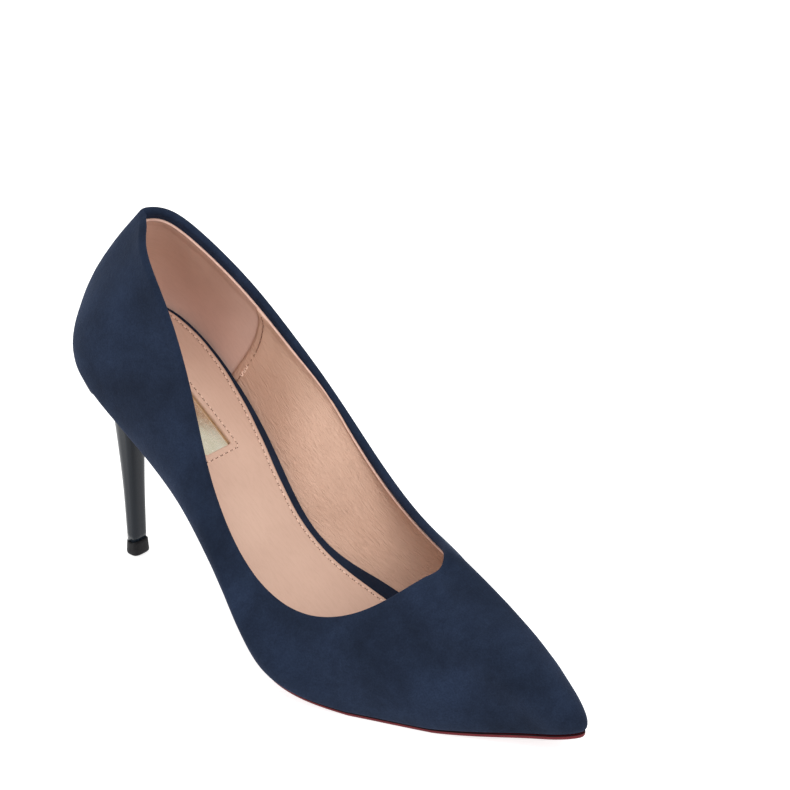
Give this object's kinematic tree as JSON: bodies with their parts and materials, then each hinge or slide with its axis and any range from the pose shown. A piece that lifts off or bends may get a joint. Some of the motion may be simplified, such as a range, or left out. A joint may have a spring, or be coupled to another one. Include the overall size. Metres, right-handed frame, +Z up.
{
  "type": "high heel pump",
  "caption": "Pointed-toe slip-on pump for a right foot with a tall slim heel, low-cut vamp, padded footbed and thin sole.",
  "frame": {"origin": "middle of the shoe's bounding box, on the floor it stands on", "axes": "+X from the heel to the pointed toe, +Z up, -Y the outer side of this right shoe"},
  "size_m": [0.2402, 0.0863, 0.1509],
  "materials": {
    "suede": "navy faux suede, short nap",
    "tape": "woven reinforcement tape",
    "stiffener": "thermoplastic stiffener sheet",
    "lining": "nude synthetic leather, fine wrinkle grain",
    "heel_grip": "nude napped heel grip",
    "fibreboard": "cellulose insole board",
    "steel": "plain steel",
    "filler": "felt filler",
    "sole": "dark red resin sole",
    "foam": "soft latex foam",
    "gold": "pale gold foil plate, plain",
    "heel_gloss": "glossy slate navy lacquer",
    "top_rubber": "black top piece"
  },
  "bodies": {
    "root": {"upper": "suede", "topline_tape": "tape", "toe_puff": "stiffener", "heel_counter": "stiffener", "lining": "lining", "heel_grip_lining": "heel_grip", "insole_board": "fibreboard", "heel_board": "fibreboard", "shank": "steel", "shank_rivet_rear": "steel", "shank_rivet_front": "steel", "bottom_filler": "filler", "outsole": "sole", "footbed_foam": "foam", "footbed_wrap": "suede", "sock_liner": "lining", "name_plate": "gold", "heel": "heel_gloss", "heel_dowel": "steel", "heel_screw": "steel", "heel_nail_1": "steel", "heel_nail_2": "steel", "heel_nail_3": "steel", "heel_nail_4": "steel", "top_piece": "top_rubber", "top_piece_pin": "steel"}
  },
  "joints": []
}
